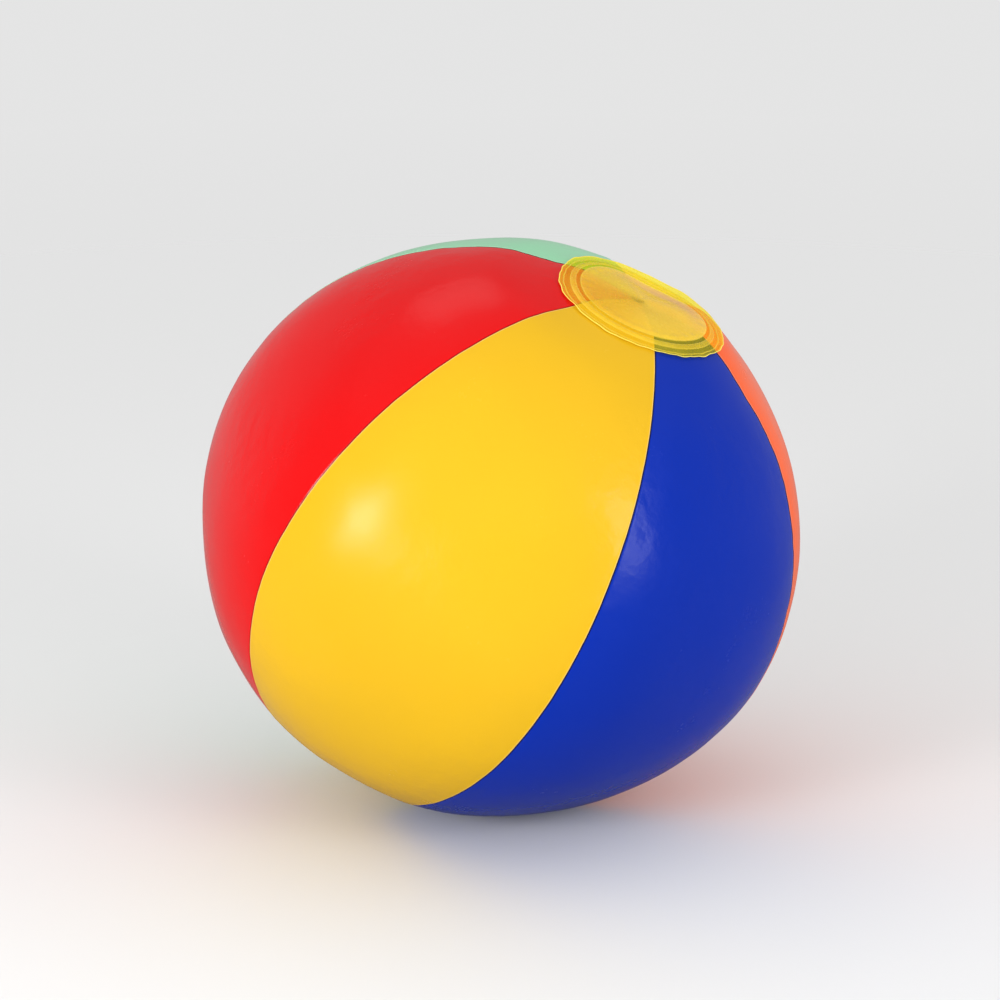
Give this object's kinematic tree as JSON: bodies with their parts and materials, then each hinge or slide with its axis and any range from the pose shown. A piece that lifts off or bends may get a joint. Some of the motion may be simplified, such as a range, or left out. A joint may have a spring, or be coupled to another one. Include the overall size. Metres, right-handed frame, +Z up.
{
  "type": "inflatable beach ball",
  "caption": "Inflated vinyl beach ball of coloured gores with clear yellow end discs and a push-in air valve with a tethered plug.",
  "frame": {"origin": "middle of the inflated ball, as it lies on a level surface", "axes": "+Z up; +Y out along the air valve's axis; the axis through the two end discs lies in the X-Z plane and leans 29 degrees from +Z towards +X"},
  "size_m": [0.3026, 0.2983, 0.2888],
  "materials": {
    "vinyl_red": "semi-gloss calendered vinyl film",
    "vinyl_yellow": "semi-gloss calendered vinyl film",
    "vinyl_blue": "semi-gloss calendered vinyl film",
    "vinyl_orange": "semi-gloss calendered vinyl film",
    "vinyl_green": "semi-gloss calendered vinyl film",
    "vinyl_white": "semi-gloss calendered vinyl film",
    "clear_yellow_film": "clear tinted vinyl film, hazy between its welds",
    "soft_white_plastic": "soft moulded vinyl, slightly milky"
  },
  "bodies": {
    "ball": {"panel_red": "vinyl_red", "panel_yellow": "vinyl_yellow", "panel_blue": "vinyl_blue", "panel_orange": "vinyl_orange", "panel_green": "vinyl_green", "panel_white": "vinyl_white", "end_disc_upper": "clear_yellow_film", "end_disc_lower": "clear_yellow_film", "valve_flange": "soft_white_plastic", "valve_web": "soft_white_plastic"},
    "stem": {"valve_stem": "soft_white_plastic"},
    "plug": {"valve_plug": "soft_white_plastic", "plug_strap": "soft_white_plastic"},
    "flap": {"valve_flap": "soft_white_plastic"}
  },
  "joints": [
    {"name": "stem_pull", "type": "slide", "parent": "ball", "child": "stem", "axis": [0, 1, 0], "range_m": [0, 0.012], "deforming": ["valve_web"]},
    {"name": "plug_swing", "type": "hinge", "parent": "stem", "child": "plug", "pos_m": [-0.013, 0.14958, 0], "axis": [0, 0, 1], "range_deg": [0, 120], "deforming": ["plug_strap"]},
    {"name": "flap_open", "type": "hinge", "parent": "stem", "child": "flap", "pos_m": [0.0055, 0.12882, 0], "axis": [0, 0, 1], "range_deg": [0, 60], "stiffness_Nm_per_rad": 0.0002}
  ]
}
